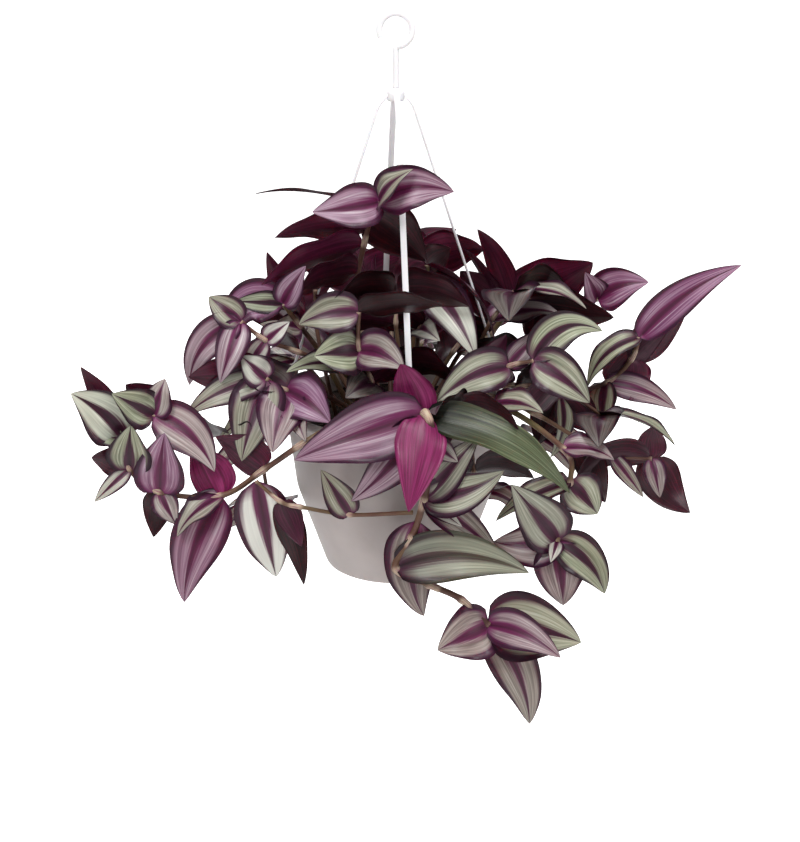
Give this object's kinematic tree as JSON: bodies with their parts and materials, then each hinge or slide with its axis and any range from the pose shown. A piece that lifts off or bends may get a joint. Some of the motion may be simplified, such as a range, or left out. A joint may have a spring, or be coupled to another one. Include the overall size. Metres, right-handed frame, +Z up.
{
  "type": "tradescantia in a hanging pot",
  "caption": "Trailing tradescantia with striped leaves in a white plastic hanging pot, on a strand hanger with an open hook.",
  "frame": {"origin": "where the hook's open ring bears on what holds it up: the inner top of the ring", "axes": "+Z up, -Y towards the side the plant is seen from, +X to the right of that view"},
  "size_m": [0.41, 0.2611, 0.438],
  "materials": {
    "white_plastic": "plain moulded white plastic, slightly off-white",
    "compost": "loose dark bark and peat compost",
    "stem": "smooth jointed stem, brown to olive",
    "leaf": "glistening striped blade, purple and silver above, maroon below"
  },
  "bodies": {
    "root": {"pot": "white_plastic", "hanger_hook": "white_plastic", "hanger_hub": "white_plastic", "hanger_strand_front": "white_plastic", "hanger_strand_right": "white_plastic", "hanger_strand_back": "white_plastic", "hanger_strand_left": "white_plastic", "soil": "compost", "shoot_top": "stem", "shoot_mid_top": "stem", "shoot_upper_right": "stem", "shoot_right_up": "stem", "shoot_right_far": "stem", "shoot_right_mid": "stem", "shoot_lower_right": "stem", "shoot_front": "stem", "shoot_front_left": "stem", "shoot_left": "stem", "shoot_left_side": "stem", "shoot_left_mid": "stem", "shoot_upper_left": "stem", "shoot_upper_left_rear": "stem", "shoot_centre": "stem", "shoot_inner_left": "stem", "shoot_inner_middle": "stem", "shoot_inner_right": "stem", "shoot_low_left": "stem", "shoot_low_middle": "stem", "shoot_low_right": "stem", "shoot_trailing_1": "stem", "shoot_trailing_2": "stem", "shoot_trailing_3": "stem", "shoot_trailing_4": "stem", "shoot_trailing_5": "stem", "shoot_trailing_6": "stem", "shoot_standing_1": "stem", "shoot_standing_2": "stem", "shoot_standing_3": "stem", "shoot_standing_4": "stem", "shoot_standing_5": "stem", "leaf_bottom_down": "leaf", "leaf_bottom_left": "leaf", "leaf_bottom_right": "leaf", "leaf_front_curled": "leaf", "leaf_front_green": "leaf", "leaf_front_low": "leaf", "leaf_front_magenta": "leaf", "leaf_front_striped": "leaf", "leaf_left_bright": "leaf", "leaf_left_long": "leaf", "leaf_low_silver": "leaf", "leaf_lower_down": "leaf", "leaf_lower_up": "leaf", "leaf_mid_left": "leaf", "leaf_right_tip": "leaf", "leaf_top_arching": "leaf", "leaf_top_hanging": "leaf", "leaf_top_left": "leaf", "leaf_top_right": "leaf", "leaf_upper_drooping": "leaf"}
  },
  "joints": []
}
